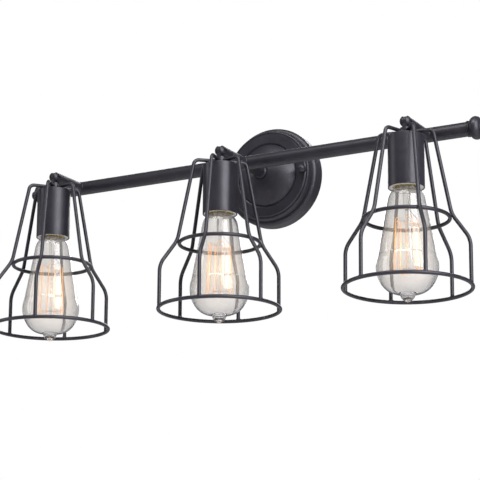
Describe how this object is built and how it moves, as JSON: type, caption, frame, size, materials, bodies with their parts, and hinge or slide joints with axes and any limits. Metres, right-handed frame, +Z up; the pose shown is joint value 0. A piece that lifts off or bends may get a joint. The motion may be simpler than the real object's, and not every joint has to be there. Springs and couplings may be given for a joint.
{
  "type": "vanity light bar",
  "caption": "Wall light bar: round stepped canopy, straight bar with ball finials, and tilting arms with wire-cage shades round clear tapered filament lamps.",
  "frame": {"origin": "centre of the canopy on the wall face, midway between the wall box screw slots", "axes": "+X right along the bar facing the wall, +Y into the wall, +Z up"},
  "size_m": [0.5842, 0.2091, 0.2527],
  "materials": {
    "dark_bronze": "satin dark bronze paint, near black",
    "zinc_steel": "zinc-plated",
    "green_screw": "green dyed",
    "bare_copper": "bare drawn copper",
    "lead_insulation": "matt insulation",
    "connector_shell": "moulded",
    "white_insulator": "moulded white insulator",
    "socket_brass": "rolled sheet brass",
    "lamp_glass": "clear blown glass",
    "lamp_stem_glass": "clear pressed glass",
    "lamp_cap": "rolled sheet brass",
    "filament_wire": "glowing tungsten"
  },
  "bodies": {
    "fixture": {"arm_left": "dark_bronze", "arm_mid": "dark_bronze", "arm_right": "dark_bronze", "bar_tube": "dark_bronze", "canopy": "dark_bronze", "canopy_studs": "zinc_steel", "cap_nuts": "dark_bronze", "crossbar": "zinc_steel", "finial_left": "dark_bronze", "finial_right": "dark_bronze", "ground_lead": "bare_copper", "ground_screw": "green_screw", "knuckle_left": "dark_bronze", "knuckle_mid": "dark_bronze", "knuckle_right": "dark_bronze", "pivot_screws": "dark_bronze", "stem_lock_nut": "zinc_steel", "stem_nipple": "zinc_steel", "stem_tube": "dark_bronze", "supply_leads": "lead_insulation", "wire_connectors": "connector_shell"},
    "head_left": {"cage_hoop_mid_left": "dark_bronze", "cage_hoop_rim_left": "dark_bronze", "cage_wires_left": "dark_bronze", "neck_nut_left": "zinc_steel", "socket_body_left": "white_insulator", "socket_contacts_left": "socket_brass", "socket_cup_left": "dark_bronze", "socket_leads_left": "lead_insulation", "swivel_neck_left": "dark_bronze"},
    "lamp_left": {"bulb_base_left": "lamp_cap", "bulb_glass_left": "lamp_glass", "bulb_stem_left": "lamp_stem_glass", "filament_left": "filament_wire"},
    "head_mid": {"cage_hoop_mid_mid": "dark_bronze", "cage_hoop_rim_mid": "dark_bronze", "cage_wires_mid": "dark_bronze", "neck_nut_mid": "zinc_steel", "socket_body_mid": "white_insulator", "socket_contacts_mid": "socket_brass", "socket_cup_mid": "dark_bronze", "socket_leads_mid": "lead_insulation", "swivel_neck_mid": "dark_bronze"},
    "lamp_mid": {"bulb_base_mid": "lamp_cap", "bulb_glass_mid": "lamp_glass", "bulb_stem_mid": "lamp_stem_glass", "filament_mid": "filament_wire"},
    "head_right": {"cage_hoop_mid_right": "dark_bronze", "cage_hoop_rim_right": "dark_bronze", "cage_wires_right": "dark_bronze", "neck_nut_right": "zinc_steel", "socket_body_right": "white_insulator", "socket_contacts_right": "socket_brass", "socket_cup_right": "dark_bronze", "socket_leads_right": "lead_insulation", "swivel_neck_right": "dark_bronze"},
    "lamp_right": {"bulb_base_right": "lamp_cap", "bulb_glass_right": "lamp_glass", "bulb_stem_right": "lamp_stem_glass", "filament_right": "filament_wire"}
  },
  "joints": [
    {"name": "tilt_left", "type": "hinge", "parent": "fixture", "child": "head_left", "pos_m": [-0.2216, -0.1358, 0], "axis": [-1, 0, 0], "range_deg": [-5, 177.7]},
    {"name": "unscrew_left", "type": "slide", "parent": "head_left", "child": "lamp_left", "axis": [0, -0.0052, -1], "range_m": [0, 0.14]},
    {"name": "tilt_mid", "type": "hinge", "parent": "fixture", "child": "head_mid", "pos_m": [0, -0.1358, 0], "axis": [-1, 0, 0], "range_deg": [-5, 177.4]},
    {"name": "unscrew_mid", "type": "slide", "parent": "head_mid", "child": "lamp_mid", "axis": [0, -0.0105, -0.9999], "range_m": [0, 0.14]},
    {"name": "tilt_right", "type": "hinge", "parent": "fixture", "child": "head_right", "pos_m": [0.2216, -0.1358, 0], "axis": [-1, 0, 0], "range_deg": [-5, 176.3]},
    {"name": "unscrew_right", "type": "slide", "parent": "head_right", "child": "lamp_right", "axis": [0, -0.0297, -0.9996], "range_m": [0, 0.14]}
  ]
}
